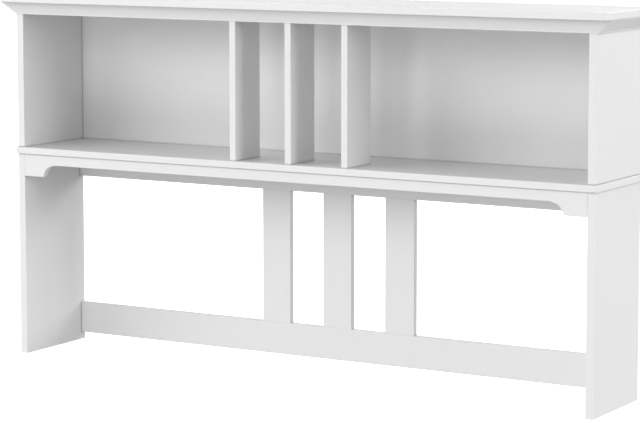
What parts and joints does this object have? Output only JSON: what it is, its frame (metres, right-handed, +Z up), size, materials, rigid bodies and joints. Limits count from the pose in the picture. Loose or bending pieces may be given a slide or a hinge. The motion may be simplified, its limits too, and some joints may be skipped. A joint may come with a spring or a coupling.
{
  "type": "desk hutch",
  "caption": "White desk hutch: open cubbies with upright dividers under a crowned top, on two side panels with a shaped apron and an open rail-and-post back.",
  "frame": {"origin": "middle of the overall box, at the level of the desk top that the legs stand on", "axes": "+X to the hutch's right as seen from its front, +Y from the front to the back, +Z up"},
  "size_m": [1.524, 0.268, 0.834],
  "materials": {
    "white_board": "satin white laminate on particle board",
    "hardboard": "white painted hardboard",
    "dowel_wood": "bare beech",
    "zinc": "bare zinc alloy",
    "steel": "bright zinc plate",
    "cap_plastic": "matte white",
    "brass": "bare"
  },
  "bodies": {
    "root": {"top_panel": "white_board", "crown_front": "white_board", "crown_left": "white_board", "crown_right": "white_board", "upper_side_left": "white_board", "upper_side_right": "white_board", "divider_left": "white_board", "divider_centre": "white_board", "divider_right": "white_board", "shelf": "white_board", "apron": "white_board", "lower_side_left": "white_board", "lower_side_right": "white_board", "back_top_rail": "white_board", "back_bottom_rail": "white_board", "post_left": "white_board", "post_centre": "white_board", "post_right": "white_board", "back_panel": "hardboard", "wood_dowels": "dowel_wood", "crown_dowels": "dowel_wood", "cam_bolts": "steel", "cam_locks": "zinc", "cam_caps": "cap_plastic", "case_screws": "steel", "back_nails": "steel", "desk_inserts": "brass"}
  },
  "joints": []
}
